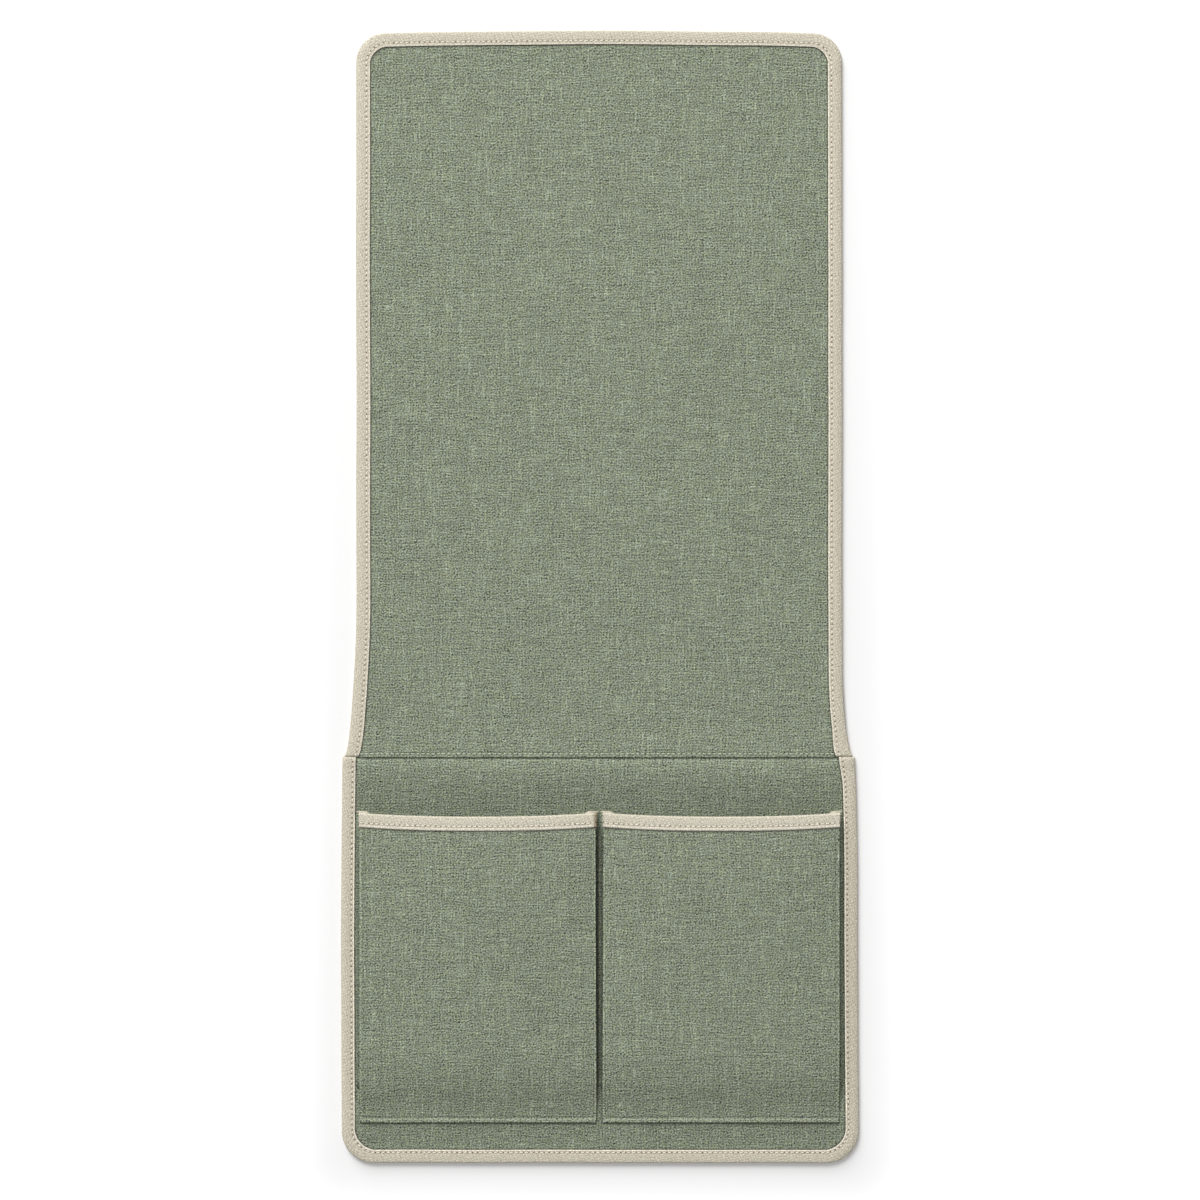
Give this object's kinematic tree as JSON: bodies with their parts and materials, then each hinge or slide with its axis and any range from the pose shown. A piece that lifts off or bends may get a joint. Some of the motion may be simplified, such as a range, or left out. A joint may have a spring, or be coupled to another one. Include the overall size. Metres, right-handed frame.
{
  "type": "armrest organizer",
  "caption": "Fabric armrest organizer: a long bound drape that goes over a sofa arm, sewn to a wider panel with side by side pleated patch pockets.",
  "frame": {"origin": "middle of the outline on the plane that the back lies on, with the organizer laid flat", "axes": "+Z out of the face with the pockets, +Y from the pockets towards the free end of the drape, +X to the right of someone who looks at the face with the drape at the top"},
  "size_m": [0.32, 0.7, 0.0094],
  "materials": {
    "linen": "sage green melange linen-look weave, matt",
    "tape": "ecru woven cotton tape, matt",
    "backing": "plain woven backing cloth, matt",
    "felt": "needle felt"
  },
  "bodies": {
    "pocket_panel": {"panel_face_fabric": "linen", "panel_interlining": "felt", "panel_backing": "backing", "panel_edge_binding": "tape", "left_pocket_outer_pleat": "linen", "left_pocket_outer_pleat_binding": "tape", "left_pocket_inner_pleat": "linen", "left_pocket_inner_pleat_binding": "tape", "right_pocket_outer_pleat": "linen", "right_pocket_outer_pleat_binding": "tape", "right_pocket_inner_pleat": "linen", "right_pocket_inner_pleat_binding": "tape"},
    "drape": {"drape_face_fabric": "linen", "drape_interlining": "felt", "drape_backing": "backing", "drape_edge_binding": "tape"},
    "left_pocket": {"left_pocket_front": "linen", "left_pocket_mouth_binding": "tape"},
    "right_pocket": {"right_pocket_front": "linen", "right_pocket_mouth_binding": "tape"}
  },
  "joints": [
    {"name": "drape_fold", "type": "hinge", "parent": "pocket_panel", "child": "drape", "pos_m": [0, -0.099, -0.00015], "axis": [1, 0, 0], "range_deg": [-179.9, 0]},
    {"name": "left_pocket_open", "type": "hinge", "parent": "pocket_panel", "child": "left_pocket", "pos_m": [-0.07558, -0.325, 0.00305], "axis": [1, 0, 0], "range_deg": [0, 4], "deforming": ["left_pocket_outer_pleat", "left_pocket_outer_pleat_binding", "left_pocket_inner_pleat", "left_pocket_inner_pleat_binding"]},
    {"name": "right_pocket_open", "type": "hinge", "parent": "pocket_panel", "child": "right_pocket", "pos_m": [0.07558, -0.325, 0.00305], "axis": [1, 0, 0], "range_deg": [0, 4], "deforming": ["right_pocket_outer_pleat", "right_pocket_outer_pleat_binding", "right_pocket_inner_pleat", "right_pocket_inner_pleat_binding"]}
  ]
}
